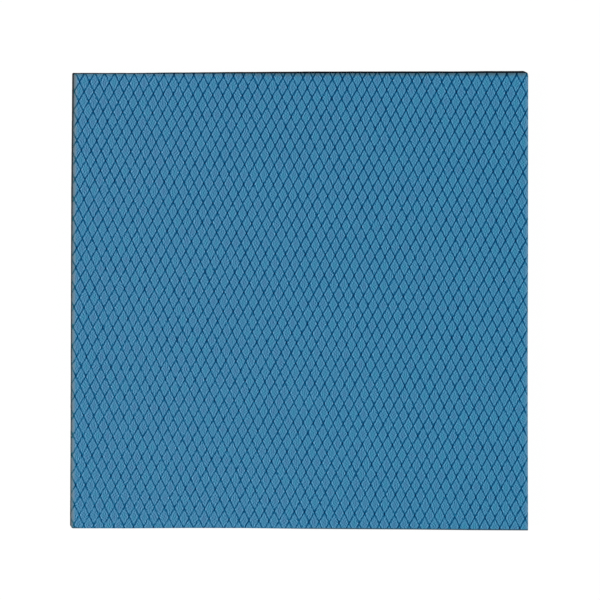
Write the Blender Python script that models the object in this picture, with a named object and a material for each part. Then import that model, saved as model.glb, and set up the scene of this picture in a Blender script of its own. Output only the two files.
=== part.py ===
"""Thermal pad sheet: a square of soft grey gap filler under an embossed blue release liner.

Metres, with +Z up. The origin is the middle of the underside. The left edge faces -X and the front edge -Y.
"""

import bmesh
import bpy
from mathutils import Vector

# Driving dimensions of the cut sheet.
# The back and right edges are square to each other, and the other two were cut by eye.
SHEET_WIDTH = 0.1000  # from the left edge's middle to the right edge
SHEET_DEPTH = 0.1000  # from the front edge's middle to the back edge
FRONT_EDGE_RUN_OUT = 0.0012  # how much further forward the front edge ends at the right than at the left
LEFT_EDGE_RUN_OUT = 0.0005  # how much further left the left edge ends at the front than at the back

# Thickness of each layer.
PAD_THICKNESS = 0.0050
LINER_THICKNESS = 0.0002  # over the embossing, which is too fine to model here

# The blade drags the upper edge down into a shoulder, and the liner follows it.
SHOULDER_WIDTH = 0.0006
SHOULDER_DROP = 0.00035
SHOULDER_STEPS = 4

# Radius of each corner, seen from above.
BACK_LEFT_CORNER = 0.00025
BACK_RIGHT_CORNER = 0.0006
FRONT_RIGHT_CORNER = 0.0002
FRONT_LEFT_CORNER = 0.0004
LEAST_CORNER = 0.0001  # the sharpest that a corner gets on the rings inside the outline
CORNER_STEPS = 5

PAD_COLOUR = (0.036, 0.038, 0.041, 1.0)
PAD_ROUGHNESS = 0.8
LINER_COLOUR = (0.050, 0.216, 0.376, 1.0)
LINER_ROUGHNESS = 0.42


def clear_scene():
    for obj in list(bpy.data.objects):
        bpy.data.objects.remove(obj, do_unlink=True)


def sheet_corners():
    """The outline's sharp corners with their radii, counterclockwise from the back left one."""
    right = SHEET_WIDTH / 2 + LEFT_EDGE_RUN_OUT / 4
    back = SHEET_DEPTH / 2 + FRONT_EDGE_RUN_OUT / 4
    left = right - SHEET_WIDTH
    front = back - SHEET_DEPTH
    return [
        (Vector((left + LEFT_EDGE_RUN_OUT / 2, back)), BACK_LEFT_CORNER),
        (Vector((left - LEFT_EDGE_RUN_OUT / 2, front + FRONT_EDGE_RUN_OUT / 2)), FRONT_LEFT_CORNER),
        (Vector((right, front - FRONT_EDGE_RUN_OUT / 2)), FRONT_RIGHT_CORNER),
        (Vector((right, back)), BACK_RIGHT_CORNER),
    ]


def outline(inset):
    """Points of the rounded outline, moved in by inset, counterclockwise."""
    corners = sheet_corners()
    points = []
    for index, (corner, radius) in enumerate(corners):
        arriving = (corner - corners[index - 1][0]).normalized()
        leaving = (corners[(index + 1) % len(corners)][0] - corner).normalized()
        first_normal = Vector((arriving.y, -arriving.x))
        last_normal = Vector((leaving.y, -leaving.x))
        outward = (first_normal + last_normal).normalized()
        turned = max(radius - inset, LEAST_CORNER)
        centre = corner - outward * (inset + turned) / outward.dot(first_normal)
        for step in range(CORNER_STEPS + 1):
            points.append(centre + turned * first_normal.slerp(last_normal, step / CORNER_STEPS))
    return points


def ring(inset, height):
    return [(point.x, point.y, height) for point in outline(inset)]


def shoulder_rings(crest):
    """Rings from the cut edge up and in over the shoulder, to the flat at height crest."""
    rings = []
    for step in range(SHOULDER_STEPS + 1):
        share = step / SHOULDER_STEPS
        rings.append(ring(SHOULDER_WIDTH * share, crest - SHOULDER_DROP * (1 - share) ** 2))
    return rings


def solid_from_rings(name, rings, material):
    """A closed solid whose skin runs through the rings, with a flat cap on the first and the last."""
    form = bmesh.new()
    rows = [[form.verts.new(point) for point in points] for points in rings]
    form.faces.new(reversed(rows[0]))
    form.faces.new(rows[-1])
    for lower, upper in zip(rows, rows[1:]):
        for index in range(len(lower)):
            after = (index + 1) % len(lower)
            form.faces.new((lower[index], lower[after], upper[after], upper[index]))
    mesh = bpy.data.meshes.new(name)
    form.to_mesh(mesh)
    form.free()
    mesh.materials.append(material)
    solid = bpy.data.objects.new(name, mesh)
    bpy.context.scene.collection.objects.link(solid)
    return solid


def plain_material(name, colour, roughness):
    material = bpy.data.materials.new(name)
    material.use_nodes = True
    surface = material.node_tree.nodes["Principled BSDF"]
    surface.inputs["Base Color"].default_value = colour
    surface.inputs["Roughness"].default_value = roughness
    surface.inputs["Metallic"].default_value = 0.0
    material.diffuse_color = colour
    return material


def build_pad():
    """The gap filler: straight cut walls from the flat underside up to the shoulder."""
    rings = [ring(0, 0)] + shoulder_rings(PAD_THICKNESS)
    return solid_from_rings("gap_pad", rings, plain_material("gap_filler", PAD_COLOUR, PAD_ROUGHNESS))


def build_liner():
    """The release liner, which lies on the pad's flat and shoulder and ends flush with its walls."""
    underside = shoulder_rings(PAD_THICKNESS)
    upper_side = [
        [(x, y, z + LINER_THICKNESS) for x, y, z in points]
        for points in underside
    ]
    rings = list(reversed(underside)) + upper_side
    return solid_from_rings("release_liner", rings, plain_material("liner_film", LINER_COLOUR, LINER_ROUGHNESS))


clear_scene()
build_pad()
build_liner()
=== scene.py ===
"""Looks of the thermal pad sheet: embossed blue liner, knife-cut dark pad, studio and camera.

Metres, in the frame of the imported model: +Z up, left edge at -X, front edge at -Y.
"""

import math

import bmesh
import bpy
import numpy as np
from mathutils import Matrix, Vector, noise


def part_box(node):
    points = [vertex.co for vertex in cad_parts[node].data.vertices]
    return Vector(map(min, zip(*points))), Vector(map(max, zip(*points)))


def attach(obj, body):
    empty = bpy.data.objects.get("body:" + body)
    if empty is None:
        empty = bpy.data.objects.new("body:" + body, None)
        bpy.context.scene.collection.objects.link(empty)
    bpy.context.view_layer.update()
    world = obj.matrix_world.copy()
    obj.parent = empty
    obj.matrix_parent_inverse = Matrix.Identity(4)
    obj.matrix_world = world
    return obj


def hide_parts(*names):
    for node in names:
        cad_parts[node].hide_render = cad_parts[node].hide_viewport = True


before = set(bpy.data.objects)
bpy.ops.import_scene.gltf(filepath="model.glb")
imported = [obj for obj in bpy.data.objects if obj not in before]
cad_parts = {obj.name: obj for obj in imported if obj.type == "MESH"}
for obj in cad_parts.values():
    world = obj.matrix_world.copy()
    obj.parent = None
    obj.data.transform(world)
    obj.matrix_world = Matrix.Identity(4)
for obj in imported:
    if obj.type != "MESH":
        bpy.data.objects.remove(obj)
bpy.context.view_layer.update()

MM_PER_METRE = 1000

# Photograph: its side in pixels and its scale on the sheet's face.
PHOTO_SIDE = 600
PIXELS_PER_METRE = 4573

# Camera: a long lens that leans towards the back left, and the point that it aims at.
LENS_MM = 1000
SENSOR_MM = 36
LEAN_LEFT = math.radians(5.8)
LEAN_BACK = math.radians(3.5)
AIM_X, AIM_Y = -0.000064, 0.000546
CLIP_NEAR, CLIP_FAR = 0.2, 3  # shares of the camera's distance

# Embossing: one diamond's diagonals, their turn from the X and Y axes, and one crossing of the grooves.
DIAMOND_WIDTH = 0.0021916
DIAMOND_LENGTH = 0.0043189
WIDTH_TURN = math.radians(-1.997)
LENGTH_TURN = math.radians(-2.432)
CROSSING_X, CROSSING_Y = -0.000457, -0.000243
CROWDING_X, CROWDING_Y = -0.0666, 0.1152  # how the pitch tightens along each axis, per metre
GROOVE_HALF_WIDTH = 0.00020
GROOVE_DEPTH = 0.00005
FILM_THICKNESS = 0.00007

# Rolled rim of the film and shoulder of the pad: left, front, right, back.
RIM_WIDTH = (0.00070, 0.00035, 0.00060, 0.00060)
RIM_DROP = (0.00040, 0.00012, 0.00016, 0.00022)

# The blade flattened the embossing to this share of its depth at the edge, and less from there inwards.
FLATTENED_SHARE = 0.25
FLATTENED_UNTIL, WHOLE_FROM = 0.0001, 0.0008

# Wander of the knife from a straight line, outward, at even steps counterclockwise along each side.
# Each row is one side, in hundredths of a millimetre: left, front, right, back.
WANDER_UNIT = 0.00001
WANDER_REACH = 0.004  # how far into the sheet the film follows its edge
BASE_WANDER = (
    (-5, 1, 6, 5, 3, 2, -1, -1, -1),
    (2, -2, -12, -16, -8, -4, -2, 4, 6),
    (6, 1, -2, -4, -3, 1, 1, 1, 1),
    (-7, -10, -6, -1, 1, 0, -5, -10, -4),
)
FILM_WANDER = (
    (-6, 3, 12, 16, 19, 19, 18, 18, 18),
    (6, 1, -12, -16, -6, -2, -1, 7, 8),
    (9, 3, -1, -3, -1, 3, 2, 3, 3),
    (-31, -27, -23, -19, -16, -12, -8, -7, -2),
)
# The pad's crest follows the film, but not at the back, where the film was cut short of it.
CREST_WANDER = FILM_WANDER[:3] + BASE_WANDER[3:]


# The outline, read from the frame

GROUND_TOLERANCE = 1e-6
OUTLINE_DIGITS = 7
INVERSE_ROUNDS = 4  # after so many rounds an inverse has settled


def outline_from_frame():
    """The pad's outline as a counterclockwise convex polygon of (x, y) points."""
    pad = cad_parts["gap_pad"]
    base = {
        (round(v.co.x, OUTLINE_DIGITS), round(v.co.y, OUTLINE_DIGITS))
        for v in pad.data.vertices
        if v.co.z < GROUND_TOLERANCE
    }
    return np.array(sorted(base, key=lambda p: math.atan2(p[1], p[0])))


outline = outline_from_frame()
half_width = abs(outline[:, 0]).max()
steps = np.roll(outline, -1, axis=0) - outline
lengths = np.linalg.norm(steps, axis=1)
inward = np.stack([-steps[:, 1], steps[:, 0]], axis=1) / lengths[:, None]


def long_edge(facing):
    """Index of the long outline edge whose inward side faces the given way."""
    return int(np.argmax(lengths * (inward @ np.array(facing))))


# Left, front, right and back, the order of every table of sides.
long_sides = [long_edge(facing) for facing in ((1, 0), (0, 1), (-1, 0), (0, -1))]
PAD_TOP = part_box("gap_pad")[1].z
LINER_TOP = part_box("release_liner")[1].z


def side_depths(points):
    """Distances inside the four straight sides, one column each."""
    return np.stack([(points - outline[edge]) @ inward[edge] for edge in long_sides], axis=1)


def smooth(low, high, value):
    """A soft step from 0 at low to 1 at high."""
    share = np.clip((value - low) / (high - low), 0, 1)
    return share * share * (3 - 2 * share)


def wandered(points, wander):
    """Points of the straight-sided sheet, moved to where the wandering knife cut it."""
    moved = points.copy()
    depths = side_depths(points)
    for side, edge in enumerate(long_sides):
        run = (points - outline[edge]) @ steps[edge] / lengths[edge] ** 2
        row = wander[side]
        shift = np.interp(run, np.linspace(0, 1, len(row)), row) * WANDER_UNIT
        follow = 1 - smooth(0, WANDER_REACH, depths[:, side])
        moved -= inward[edge] * (shift * follow)[:, None]
    return moved


def straightened(points, wander):
    """The inverse of wandered()."""
    straight = points.copy()
    for _ in range(INVERSE_ROUNDS):
        straight = points - (wandered(straight, wander) - straight)
    return straight


# The embossing's two families of grooves, in sheet coordinates

across = DIAMOND_WIDTH * np.array([math.cos(WIDTH_TURN), math.sin(WIDTH_TURN)])
along = DIAMOND_LENGTH * np.array([math.sin(LENGTH_TURN), -math.cos(LENGTH_TURN)])
step_a = (across + along) / 2
step_b = (across - along) / 2
to_phase = np.linalg.inv(np.stack([step_a, step_b], axis=1))
PITCH_A = 1 / np.linalg.norm(to_phase[0])
PITCH_B = 1 / np.linalg.norm(to_phase[1])
crossing = np.array([CROSSING_X, CROSSING_Y])
crowding = np.array([CROWDING_X, CROWDING_Y])


def place_of(phase):
    """(x, y) of lattice coordinates, whose whole numbers are the grooves."""
    flat = phase @ np.stack([step_a, step_b]) + crossing
    place = flat.copy()
    for _ in range(INVERSE_ROUNDS):
        place = flat / (1 + place @ crowding)[:, None]
    return place


def phase_of(place):
    """The inverse of place_of()."""
    flat = place * (1 + place @ crowding)[:, None]
    return (flat - crossing) @ to_phase.T


def groove_distance(place):
    """Distance in metres from each point to the middle of the nearest groove."""
    phase = phase_of(place)
    off = np.abs(phase - np.round(phase)) * np.array([PITCH_A, PITCH_B])
    return off.min(axis=1)


# Heights of the film and the pad

def rim_drop(depths):
    """How far the surface has rolled down at each point, from its distances to the four sides."""
    share = np.clip(1 - depths / np.array(RIM_WIDTH), 0, 1)
    return (np.array(RIM_DROP) * share ** 2).max(axis=1)


def relief_share(depths):
    """Share of the embossing left by the blade, which flattened it along the edges."""
    nearest = depths.min(axis=1)
    return FLATTENED_SHARE + (1 - FLATTENED_SHARE) * smooth(FLATTENED_UNTIL, WHOLE_FROM, nearest)


def film_height(place, depths):
    """Height of the film's upper face, with its grooves and its rolled rim."""
    off = groove_distance(place)
    dip = np.cos(np.clip(off / GROOVE_HALF_WIDTH, 0, 1) * math.pi / 2) ** 2
    return LINER_TOP - rim_drop(depths) - GROOVE_DEPTH * dip * relief_share(depths)


# Building the film

# Lines of the mesh from one groove to the next, as shares of the pitch.
CELL_LINES = (0.0, 0.045, 0.10, 0.5, 0.90, 0.955)
# Extra lines along a side, as shares of its rim's width.
RIM_LINES = (0.15, 0.32, 0.52, 0.75, 1.0)
EDGE_ATTRIBUTES = ("in_left", "in_front", "in_right", "in_back")
LATTICE_MARGIN = 0.0015  # how far the uncut lattice reaches beyond the outline
CUT_TOLERANCE = 1e-8
MERGE_DISTANCE = 2e-7
FILM_SHARP_ANGLE = math.radians(60)


def put_in_scene(name, data):
    made = bpy.data.objects.new(name, data)
    bpy.context.scene.collection.objects.link(made)
    return made


def lattice_sheet():
    """A flat mesh whose lines run along the grooves, over every diamond that touches the sheet."""
    corners = phase_of(outline)
    low = np.floor(corners.min(axis=0)).astype(int) - 1
    high = np.ceil(corners.max(axis=0)).astype(int) + 1
    lines_a = np.array([i + t for i in range(low[0], high[0]) for t in CELL_LINES])
    lines_b = np.array([i + t for i in range(low[1], high[1]) for t in CELL_LINES])
    grid_a, grid_b = np.meshgrid(lines_a, lines_b, indexing="ij")
    place = place_of(np.stack([grid_a.ravel(), grid_b.ravel()], axis=1))
    reach = side_depths(place).min(axis=1) > -LATTICE_MARGIN
    reach = reach.reshape(grid_a.shape)
    index = np.arange(place.shape[0]).reshape(grid_a.shape)
    kept = reach[:-1, :-1] | reach[1:, :-1] | reach[:-1, 1:] | reach[1:, 1:]
    quads = np.stack([index[:-1, :-1], index[1:, :-1], index[1:, 1:], index[:-1, 1:]], axis=-1)[kept]
    used, quads = np.unique(quads, return_inverse=True)
    straight = straightened(place[used], FILM_WANDER)
    points = np.column_stack([straight, np.zeros(len(used))])
    mesh = bpy.data.meshes.new("liner_embossed")
    mesh.from_pydata(points.tolist(), [], quads.reshape(-1, 4).tolist())
    return mesh


def split(form, place, direction, clear_outer=False):
    bmesh.ops.bisect_plane(
        form,
        geom=form.verts[:] + form.edges[:] + form.faces[:],
        dist=CUT_TOLERANCE,
        plane_co=(*place, 0),
        plane_no=(*direction, 0),
        clear_outer=clear_outer,
    )


def cut_to_outline(form):
    for edge in range(len(outline)):
        split(form, outline[edge], -inward[edge], clear_outer=True)


def cut_rim_lines(form):
    """Extra lines along each side, so that the rolled rim is round."""
    for side, edge in enumerate(long_sides):
        for share in RIM_LINES:
            split(form, outline[edge] + inward[edge] * RIM_WIDTH[side] * share, inward[edge])


def rim_loop(form):
    """The open boundary's vertices in order."""
    follows = {}
    for edge in form.edges:
        if len(edge.link_faces) == 1:
            loop = edge.link_loops[0]
            follows[loop.vert] = loop.link_loop_next.vert
    start = next(iter(follows))
    ring = [start]
    while follows[ring[-1]] is not start:
        ring.append(follows[ring[-1]])
    return ring


def close_below(form):
    """The film's own thickness along its rim, and a flat underside on the pad."""
    ring = rim_loop(form)
    tuck = 1 - max(RIM_WIDTH) / half_width
    under = [form.verts.new((v.co.x, v.co.y, v.co.z - FILM_THICKNESS)) for v in ring]
    inner = [form.verts.new((v.co.x * tuck, v.co.y * tuck, PAD_TOP)) for v in ring]
    for upper, lower in ((ring, under), (under, inner)):
        for i in range(len(ring)):
            j = (i + 1) % len(ring)
            form.faces.new((upper[j], upper[i], lower[i], lower[j]))
    form.faces.new(list(reversed(inner)))


def store_depths(mesh):
    """Distances from the four cut edges in millimetres, for the material."""
    places = np.empty(len(mesh.vertices) * 3)
    mesh.vertices.foreach_get("co", places)
    depths = side_depths(straightened(places.reshape(-1, 3)[:, :2], FILM_WANDER)) * MM_PER_METRE
    for side, name in enumerate(EDGE_ATTRIBUTES):
        attribute = mesh.attributes.new(name, "FLOAT", "POINT")
        attribute.data.foreach_set("value", depths[:, side].astype(np.float32))


def make_film():
    mesh = lattice_sheet()
    form = bmesh.new()
    form.from_mesh(mesh)
    cut_to_outline(form)
    cut_rim_lines(form)
    bmesh.ops.remove_doubles(form, verts=form.verts[:], dist=MERGE_DISTANCE)
    form.verts.ensure_lookup_table()
    straight = np.array([v.co[:2] for v in form.verts])
    place = wandered(straight, FILM_WANDER)
    heights = film_height(place, side_depths(straight))
    for vert, (x, y), z in zip(form.verts, place, heights):
        vert.co = (x, y, z)
    close_below(form)
    bmesh.ops.recalc_face_normals(form, faces=form.faces[:])
    form.to_mesh(mesh)
    form.free()
    store_depths(mesh)
    film = put_in_scene("liner_embossed", mesh)
    mesh.shade_smooth()
    mesh.set_sharp_from_angle(angle=FILM_SHARP_ANGLE)
    return film


# Building the pad

WALL_STEP = 0.0005
WALL_ROWS = 14
# Rows of points as shares of the wall's height: the foot, a line just above it, and the even rows.
WALL_SHARES = (0.0, 0.012) + tuple(row / WALL_ROWS for row in range(1, WALL_ROWS + 1))
WALL_TUCK = 0.00003  # how far the wall stands back under the film's rim
FOOT_TUCK = 0.00005
RIM_CLEARANCE = 0.00002  # how far the shoulder stays below the film's rim
TOP_CLEARANCE = 0.00003  # how far the top stays below the film's flat underside
PAD_SHARP_ANGLE = math.radians(50)

# The knife's drag marks, fine and broad: their scales along and up the wall, an offset and their height.
DRAG_MARKS = (
    (900, 130, 0, 0.00002),
    (160, 60, 7, 0.00003),
)


def perimeter(inset):
    """Points along the straight outline about WALL_STEP apart, moved in by inset towards the middle."""
    points = []
    for i in range(len(outline)):
        parts = max(1, round(lengths[i] / WALL_STEP))
        for k in range(parts):
            points.append(outline[i] + steps[i] * k / parts)
    return np.array(points) * (1 - inset / half_width)


def outward_normals(ring):
    tangent = np.roll(ring, -1, axis=0) - np.roll(ring, 1, axis=0)
    normal = np.stack([tangent[:, 1], -tangent[:, 0]], axis=1)
    return normal / np.linalg.norm(normal, axis=1)[:, None]


def knife_drag(points):
    """Small ridges that the blade left on the cut walls, mostly running up and down."""
    drag = np.zeros(len(points))
    for level_scale, upward_scale, offset, height in DRAG_MARKS:
        drag += [
            noise.noise((x * level_scale, y * level_scale, z * upward_scale + offset)) * height
            for x, y, z in points
        ]
    return drag


def make_pad():
    ring = perimeter(0)
    normal = outward_normals(ring)
    gap = GROOVE_DEPTH + FILM_THICKNESS + RIM_CLEARANCE
    top = LINER_TOP - gap - rim_drop(side_depths(ring))
    base_line = wandered(ring, BASE_WANDER)
    crest_line = wandered(ring, CREST_WANDER)
    rows = []
    for share in WALL_SHARES:
        line = base_line * (1 - share) + crest_line * share
        height = top * share
        tuck = WALL_TUCK * share + (FOOT_TUCK if share == 0 else 0)
        drag = knife_drag(np.column_stack([ring, height])) - tuck
        rows.append(np.column_stack([line + normal * drag[:, None], height]))
    inner = perimeter(max(RIM_WIDTH))
    rows.append(np.column_stack([inner, np.full(len(inner), PAD_TOP - TOP_CLEARANCE)]))
    form = bmesh.new()
    verts = [[form.verts.new(p) for p in row] for row in rows]
    for lower, upper in zip(verts, verts[1:]):
        for i in range(len(ring)):
            j = (i + 1) % len(ring)
            form.faces.new((lower[i], lower[j], upper[j], upper[i]))
    form.faces.new(list(reversed(verts[0])))
    form.faces.new(verts[-1])
    mesh = bpy.data.meshes.new("pad_cut")
    form.to_mesh(mesh)
    form.free()
    pad = put_in_scene("pad_cut", mesh)
    mesh.shade_smooth()
    mesh.set_sharp_from_angle(angle=PAD_SHARP_ANGLE)
    return pad


# Materials

class Nodes:
    """Short calls for one material's node tree."""

    def __init__(self, name):
        self.material = bpy.data.materials.new(name)
        self.material.use_nodes = True
        self.tree = self.material.node_tree
        self.surface = self.tree.nodes["Principled BSDF"]

    def add(self, kind, **settings):
        node = self.tree.nodes.new(kind)
        for key, value in settings.items():
            setattr(node, key, value)
        return node

    def link(self, source, target):
        self.tree.links.new(source, target)

    def put(self, socket, value):
        """Links a socket to another one, or sets it to a plain value."""
        if isinstance(value, bpy.types.NodeSocket):
            self.link(value, socket)
        else:
            socket.default_value = value

    def math(self, operation, first, second=0.0, third=None, clamp=False):
        node = self.add("ShaderNodeMath", operation=operation, use_clamp=clamp)
        self.put(node.inputs[0], first)
        self.put(node.inputs[1], second)
        if third is not None:
            self.put(node.inputs[2], third)
        return node.outputs[0]

    def spread(self, value, from_low, from_high, to_low=0.0, to_high=1.0):
        """A soft step of the value, from to_low at from_low to to_high at from_high."""
        node = self.add("ShaderNodeMapRange", interpolation_type="SMOOTHSTEP")
        for socket, given in zip(node.inputs, (value, from_low, from_high, to_low, to_high)):
            self.put(socket, given)
        return node.outputs[0]

    def mix(self, share, first, second, blend="MIX"):
        """A mix of two colours, by the node's sockets for colours."""
        node = self.add("ShaderNodeMix", data_type="RGBA", blend_type=blend)
        self.put(node.inputs["Factor"], share)
        self.put(node.inputs[6], first)
        self.put(node.inputs[7], second)
        return node.outputs[2]

    def vector(self, operation, *values):
        node = self.add("ShaderNodeVectorMath", operation=operation)
        for socket, value in zip(node.inputs, values):
            self.put(socket, value)
        return node.outputs[0]

    def noise(self, scale, detail=2.0, roughness=0.5, vector=None):
        node = self.add("ShaderNodeTexNoise")
        node.inputs["Scale"].default_value = scale
        node.inputs["Detail"].default_value = detail
        node.inputs["Roughness"].default_value = roughness
        self.put(node.inputs["Vector"], vector or self.place())
        return node.outputs[0]

    def sway(self, scale, amount, base=0.0, **shape):
        """Noise that swings about base by the given amount."""
        middle = self.math("SUBTRACT", self.noise(scale, **shape), 0.5)
        return self.math("MULTIPLY_ADD", middle, amount, base)

    def ripple(self, scale, frequency, anisotropy):
        """Fine ripples of one pitch that run mostly up and down the sheet."""
        node = self.add("ShaderNodeTexGabor", gabor_type="2D")
        node.inputs["Scale"].default_value = scale
        node.inputs["Frequency"].default_value = frequency
        node.inputs["Anisotropy"].default_value = anisotropy
        node.inputs[4].default_value = 0.0  # the ripples' turn in the plane of the sheet
        self.link(self.place(), node.inputs["Vector"])
        return node.outputs["Value"]

    def place(self):
        return self.add("ShaderNodeTexCoord").outputs["Object"]

    def place_xy(self):
        apart = self.add("ShaderNodeSeparateXYZ")
        self.link(self.place(), apart.inputs[0])
        return apart.outputs[0], apart.outputs[1]

    def stretched(self, scale):
        node = self.add("ShaderNodeMapping")
        node.inputs["Scale"].default_value = scale
        self.link(self.place(), node.inputs[0])
        return node.outputs[0]

    def stored(self, name):
        return self.add("ShaderNodeAttribute", attribute_name=name).outputs["Fac"]

    def bump(self, height, distance, strength=1.0):
        node = self.add("ShaderNodeBump")
        node.inputs["Strength"].default_value = strength
        node.inputs["Distance"].default_value = distance
        self.put(node.inputs["Height"], height)
        self.link(node.outputs[0], self.surface.inputs["Normal"])


# The film's colours

FILM_TEAL = (0.0445, 0.2255, 0.3765, 1)
FILM_VIOLET = (0.0600, 0.1960, 0.3610, 1)
# Painted highlights where the raised film beside the grooves catches the light, most of all in the
# diamonds' blunt corners.
GROOVE_EDGE_HIGHLIGHT = (0.074, 0.254, 0.436, 1)
BLUNT_CORNER_HIGHLIGHT = (0.114, 0.315, 0.520, 1)
# Rim colours: a painted grey sheen and a pale painted highlight on the rolled left rim, painted shade
# and a paler band at the back, and a pale painted highlight at the right.
LEFT_RIM_GREY_SHEEN = (0.130, 0.174, 0.204, 1)
LEFT_RIM_HIGHLIGHT = (0.150, 0.255, 0.330, 1)
BACK_RIM_SHADE = (0.056, 0.105, 0.122, 1)
BACK_RIM_PALE = (0.126, 0.230, 0.299, 1)
RIGHT_RIM_HIGHLIGHT = (0.130, 0.280, 0.430, 1)
# Painted shade on the rolled front rim.
FRONT_RIM_SHADE = (0.040, 0.080, 0.110, 1)

# Tints: what is left of the colour below them.
RIGHTWARD_RED_SHADE = (0.83, 1, 1, 1)  # painted shade: the light falls off to the right, taking a little of the film's red
GROOVE_TINT_AND_SHADE = (0.000, 0.240, 0.375, 1)  # darker blue and painted shade of one groove; where two cross, it works twice
# A wider layer of the groove's darker blue and painted shade, which takes only red.
GROOVE_BORDER_TINT_AND_SHADE = (0.450, 1, 1, 1)
# Painted shade in the sharp corners between the grooves.
CORNER_SHADE_TINT = (0.000, 0.790, 0.860, 1)

# The grain: the scale, frequency and anisotropy of its ripples, how far they swing from low to high,
# and how strongly they sway red, green and blue.
GRAIN_RIPPLE = (1000, 2.1, 0.35)
GRAIN_SWING = 1.84
GRAIN = (1.84, 1.0, 0.79)

HUE_SCALE = 480
HUE_STRETCH = (1.6, 0.85, 1.0)

# How far each family of grooves wavers from its line, in millimetres, and how finely.
WAVER = 0.24
WAVER_SCALES = (2400, 2200)

# A groove's layers of colour, darker blue with painted shade, in millimetres from its line: each is full
# within the first distance and fades out at its own.
GROOVE_MIDDLE = 0.08
GROOVE_LAYERS = (
    (GROOVE_BORDER_TINT_AND_SHADE, 0.26),
    (GROOVE_TINT_AND_SHADE, 0.225),
)
GROOVE_EDGE_WAVER = (900, 0.10)

# How hard each family was pressed, which sets the strength of its darker blue and painted shade: its
# level, its growth per metre to the right and to the back, its unevenness, and the scale of the
# unevenness.
PRESSING = (
    (1.05, 3.0, 3.4, 2.1, 2000),
    (0.90, 0.4, 0.9, 1.5, 1750),
)

FILM_SHINE = 0.05
FILM_TOOTH = 0.00001


def groove_phases(n, x, y):
    """Phases from the nearest groove of each family, between -0.5 and 0.5, as phase_of() has them."""
    scale = n.math("MULTIPLY_ADD", x, CROWDING_X, 1.0)
    scale = n.math("MULTIPLY_ADD", y, CROWDING_Y, scale)
    flat_x = n.math("SUBTRACT", n.math("MULTIPLY", x, scale), CROSSING_X)
    flat_y = n.math("SUBTRACT", n.math("MULTIPLY", y, scale), CROSSING_Y)
    phases = []
    for row in to_phase:
        phase = n.math("MULTIPLY_ADD", flat_x, float(row[0]), n.math("MULTIPLY", flat_y, float(row[1])))
        phases.append(n.math("WRAP", phase, 0.5, -0.5))
    return phases


def groove_distances(n, phases):
    """Distances from the nearest groove of each family in millimetres, with the grooves' waver."""
    distances = []
    for phase, pitch, scale in zip(phases, (PITCH_A, PITCH_B), WAVER_SCALES):
        off = n.math("MULTIPLY_ADD", phase, float(pitch) * MM_PER_METRE, n.sway(scale, WAVER))
        distances.append(n.math("ABSOLUTE", off))
    return distances


def in_millimetres(n, phase, length):
    return n.math("MULTIPLY", n.math("ABSOLUTE", phase), float(length) * MM_PER_METRE)


def plateau_colour(n, x, distances, sideways, lengthways):
    """A faint hue drift, with a painted highlight beside the grooves, most of all in the diamonds' blunt
    corners, and painted shade that takes a little red towards the right.
    """
    hue = n.noise(HUE_SCALE, 1.0, vector=n.stretched(HUE_STRETCH))
    colour = n.mix(n.spread(hue, 0.30, 0.70), FILM_TEAL, FILM_VIOLET)
    near = n.math("MINIMUM", *distances)
    colour = n.mix(n.spread(near, 0.33, 0.62, 1.0, 0.0), colour, GROOVE_EDGE_HIGHLIGHT)
    middle = n.spread(sideways, 0.34, 0.54, 1.0, 0.0)
    blunt = n.math("MULTIPLY", middle, n.spread(lengthways, 0.10, 0.55, 0.8, 0.0))
    colour = n.mix(blunt, colour, BLUNT_CORNER_HIGHLIGHT)
    colour = n.mix(n.spread(x, -0.05, 0.05), colour, RIGHTWARD_RED_SHADE, blend="MULTIPLY")
    grain = n.math("MULTIPLY_ADD", n.ripple(*GRAIN_RIPPLE), GRAIN_SWING, -GRAIN_SWING / 2)
    return n.mix(1.0, colour, n.vector("MULTIPLY_ADD", grain, GRAIN, (1, 1, 1)), blend="MULTIPLY")


def with_rims(n, colour, x, left, right, back):
    """Painted light on the rims: a pale highlight and a grey sheen on the rolled rim at the left,
    painted shade and a paler band at the back, and a pale highlight at the right.
    """
    # Pale painted highlight on the rolled left rim.
    colour = n.mix(n.spread(left, 0.30, 0.95, 0.92, 0.0), colour, LEFT_RIM_HIGHLIGHT)
    # Painted grey sheen on the steep outer part of the rolled left rim, uneven along the edge.
    painted_rim = n.math("MULTIPLY", n.spread(left, 0.12, 0.50, 0.85, 0.0), n.sway(900, 0.9, 1.0), clamp=True)
    colour = n.mix(painted_rim, colour, LEFT_RIM_GREY_SHEEN)
    pale_reach = n.spread(x, -0.02, 0.04, 0.62, 1.05)
    colour = n.mix(n.spread(back, 0.25, pale_reach, 0.42, 0.0), colour, BACK_RIM_PALE)
    # Painted shade on the back rim, weaker at the left.
    painted_rim = n.math("MULTIPLY", n.spread(back, 0.0, 1.0, 0.62, 0.0), n.sway(700, 1.2, 1.0), clamp=True)
    painted_rim = n.math("MULTIPLY", painted_rim, n.spread(x, -0.02, 0.0, 0.3, 1.0))
    colour = n.mix(painted_rim, colour, BACK_RIM_SHADE)
    # Pale painted highlight on the rolled right rim.
    return n.mix(n.spread(right, 0.1, 1.0, 0.60, 0.0), colour, RIGHT_RIM_HIGHLIGHT)


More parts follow.
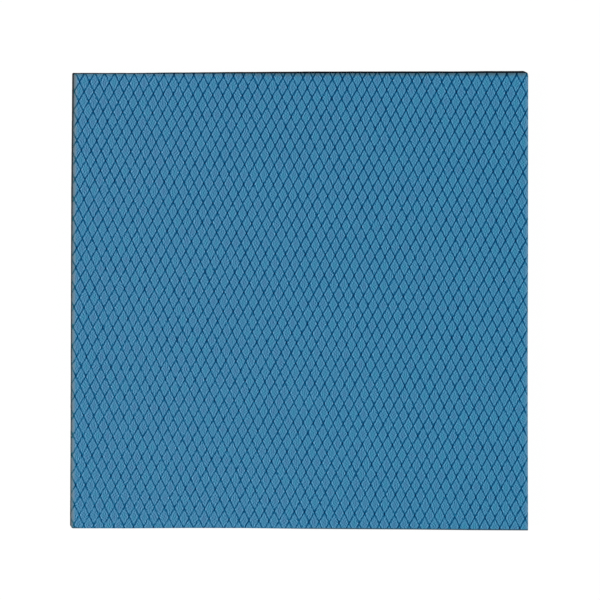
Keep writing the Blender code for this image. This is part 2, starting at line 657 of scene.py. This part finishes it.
def with_grooves(n, colour, x, y, distances, left, right):
    """Grooves darkened by their darker blue and by painted shade, pressed unevenly, and less on the rims
    at the left and the right.
    """
    at_left = n.spread(left, 0.1, 0.7, 0.6, 1.0)
    rims = n.math("MULTIPLY", at_left, n.spread(right, 0.0, 0.9, 0.5, 1.0))
    for distance, (level, lean_x, lean_y, unevenness, scale) in zip(distances, PRESSING):
        pressing = n.math("MULTIPLY_ADD", x, lean_x, n.math("MULTIPLY_ADD", y, lean_y, level))
        pressing = n.math("MULTIPLY", n.sway(scale, unevenness, pressing, detail=1.0), rims)
        wavy = n.math("ADD", distance, n.sway(*GROOVE_EDGE_WAVER))
        for tint, reach in GROOVE_LAYERS:
            nearness = n.spread(wavy, GROOVE_MIDDLE, reach, 1.0, 0.0)
            share = n.math("MULTIPLY", nearness, pressing, clamp=True)
            colour = n.mix(share, colour, tint, blend="MULTIPLY")
    return colour


def with_corner_shade(n, colour, sideways, lengthways):
    """Painted shade that fills the sharp corners between the grooves."""
    thin = n.spread(sideways, 0.04, 0.26, 0.9, 0.0)
    corner_shade = n.math("MULTIPLY", thin, n.spread(lengthways, 0.35, 0.80, 1.0, 0.0))
    return n.mix(corner_shade, colour, CORNER_SHADE_TINT, blend="MULTIPLY")


def with_front_rim_shade(n, colour, x, front):
    """Painted shade on the rolled front rim, dark at the right and round the left corner."""
    at_right = n.spread(x, -0.01, 0.01, 0.2, 1.0)
    dark_run = n.math("MAXIMUM", at_right, n.spread(x, -0.0495, -0.0470, 0.9, 0.0))
    # The mask of the painted shade along the front rim.
    cut = n.math("MULTIPLY", n.spread(front, 0.10, 0.42, 1.0, 0.0), dark_run)
    return n.mix(cut, colour, FRONT_RIM_SHADE)


def film_material():
    n = Nodes("liner_film")
    x, y = n.place_xy()
    left, front, right, back = (n.stored(name) for name in EDGE_ATTRIBUTES)
    a, b = groove_phases(n, x, y)
    distances = groove_distances(n, (a, b))
    sideways = in_millimetres(n, n.math("ADD", a, b), DIAMOND_WIDTH / 2)
    lengthways = in_millimetres(n, n.math("SUBTRACT", a, b), DIAMOND_LENGTH / 2)

    colour = plateau_colour(n, x, distances, sideways, lengthways)
    colour = with_rims(n, colour, x, left, right, back)
    colour = with_grooves(n, colour, x, y, distances, left, right)
    colour = with_corner_shade(n, colour, sideways, lengthways)
    colour = with_front_rim_shade(n, colour, x, front)

    n.link(colour, n.surface.inputs["Base Color"])
    n.link(n.spread(n.noise(1500, 2.0), 0.3, 0.7, 0.42, 0.56), n.surface.inputs["Roughness"])
    n.surface.inputs["Specular IOR Level"].default_value = FILM_SHINE
    n.bump(n.noise(5200, 3.0, 0.6), FILM_TOOTH, 0.35)
    return n.material


PAD_DARK = (0.018, 0.020, 0.022, 1)
PAD_PALE = (0.032, 0.035, 0.038, 1)
PAD_FLECK = (0.080, 0.085, 0.090, 1)
# Painted light on the left wall, which faces the left softbox.
LEFT_WALL_LIGHT = (0.040, 0.051, 0.058, 1)
# Painted shade on the back wall, which faces away from the softboxes.
BACK_WALL_SHADE = (0.003, 0.006, 0.011, 1)
PAD_ROUGHNESS = 0.85
PAD_TOOTH = 0.00004


def pad_material():
    n = Nodes("gap_filler")
    drag = n.noise(1600, 3.0, 0.6, n.stretched((1, 1, 0.16)))
    grain = n.noise(3200, 3.0, 0.65)
    cloud = n.spread(n.noise(130, 3.0), 0.3, 0.7)
    colour = n.mix(cloud, PAD_DARK, PAD_PALE)
    flecks = n.spread(grain, 0.56, 0.72, 0.0, 0.75)
    colour = n.mix(flecks, colour, PAD_FLECK)
    x, y = n.place_xy()
    # Painted light on the left wall, which faces the left softbox.
    left_wall_light = n.spread(x, -0.0496, -0.0484, 0.35, 0.0)
    colour = n.mix(left_wall_light, colour, LEFT_WALL_LIGHT)
    # Painted shade on the back wall, which faces away from the softboxes.
    at_back = n.spread(y, 0.0499, 0.0501, 0.0, 0.8)
    colour = n.mix(at_back, colour, BACK_WALL_SHADE)
    n.link(colour, n.surface.inputs["Base Color"])
    n.surface.inputs["Roughness"].default_value = PAD_ROUGHNESS
    n.surface.inputs["Specular IOR Level"].default_value = 0.0
    height = n.math("MULTIPLY_ADD", grain, 0.35, drag)
    n.bump(height, PAD_TOOTH, 0.6)
    return n.material


# Studio

WHITE = (1, 1, 1, 1)
FLOOR_GREY = (0.05, 0.05, 0.05, 1)
FLOOR_ROUGHNESS = 0.9
FLOOR_GLOW = 0.967
FLOOR_HALF = 2.0
FLOOR_HEIGHT = -0.00002
SURROUND_STRENGTH = 0.32
SOFTBOX_SIZE = 0.6
SOFTBOXES = (
    ("left_softbox", (-0.95, -0.10, 0.80), 9.8),
    ("right_softbox", (0.95, 0.05, 0.80), 7.6),
)


def make_camera():
    towards = Vector((-math.tan(LEAN_LEFT), math.tan(LEAN_BACK), 1)).normalized()
    right = Vector((0, 1, 0)).cross(towards).normalized()
    up = towards.cross(right)
    data = bpy.data.cameras.new("photo_camera")
    data.lens = LENS_MM
    data.sensor_width = SENSOR_MM
    distance = LENS_MM / SENSOR_MM * PHOTO_SIDE / PIXELS_PER_METRE
    data.clip_start = distance * CLIP_NEAR
    data.clip_end = distance * CLIP_FAR
    camera = put_in_scene("photo_camera", data)
    turn = Matrix((right, up, towards)).transposed().to_4x4()
    aim = Vector((AIM_X, AIM_Y, LINER_TOP))
    camera.matrix_world = Matrix.Translation(aim + towards * distance) @ turn
    bpy.context.scene.camera = camera


def make_light(name, place, power):
    """A square soft box that faces the middle of the sheet."""
    data = bpy.data.lights.new(name, "AREA")
    data.shape = "SQUARE"
    data.size = SOFTBOX_SIZE
    data.energy = power
    light = put_in_scene(name, data)
    light.location = place
    light.rotation_mode = "QUATERNION"
    light.rotation_quaternion = Vector(place).to_track_quat("Z", "Y")


def floor_material():
    n = Nodes("studio_floor")
    n.surface.inputs["Base Color"].default_value = FLOOR_GREY
    n.surface.inputs["Roughness"].default_value = FLOOR_ROUGHNESS
    n.surface.inputs["Specular IOR Level"].default_value = 0.0
    n.surface.inputs["Emission Color"].default_value = WHITE
    n.surface.inputs["Emission Strength"].default_value = FLOOR_GLOW
    return n.material


def make_floor():
    mesh = bpy.data.meshes.new("studio_floor")
    corners = [(x * FLOOR_HALF, y * FLOOR_HALF, 0) for x, y in ((-1, -1), (1, -1), (1, 1), (-1, 1))]
    mesh.from_pydata(corners, [], [(0, 1, 2, 3)])
    floor = put_in_scene("studio_floor", mesh)
    floor.location.z = FLOOR_HEIGHT
    mesh.materials.append(floor_material())


def make_studio():
    world = bpy.data.worlds.new("studio")
    world.use_nodes = True
    world.node_tree.nodes["Background"].inputs[0].default_value = WHITE
    world.node_tree.nodes["Background"].inputs[1].default_value = SURROUND_STRENGTH
    bpy.context.scene.world = world
    for name, place, power in SOFTBOXES:
        make_light(name, place, power)
    make_floor()
    bpy.context.scene.view_settings.view_transform = "Standard"


make_camera()
make_studio()

film = make_film()
film.data.materials.append(film_material())
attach(film, "root")
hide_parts("release_liner")

pad = make_pad()
pad.data.materials.append(pad_material())
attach(pad, "root")
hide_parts("gap_pad")
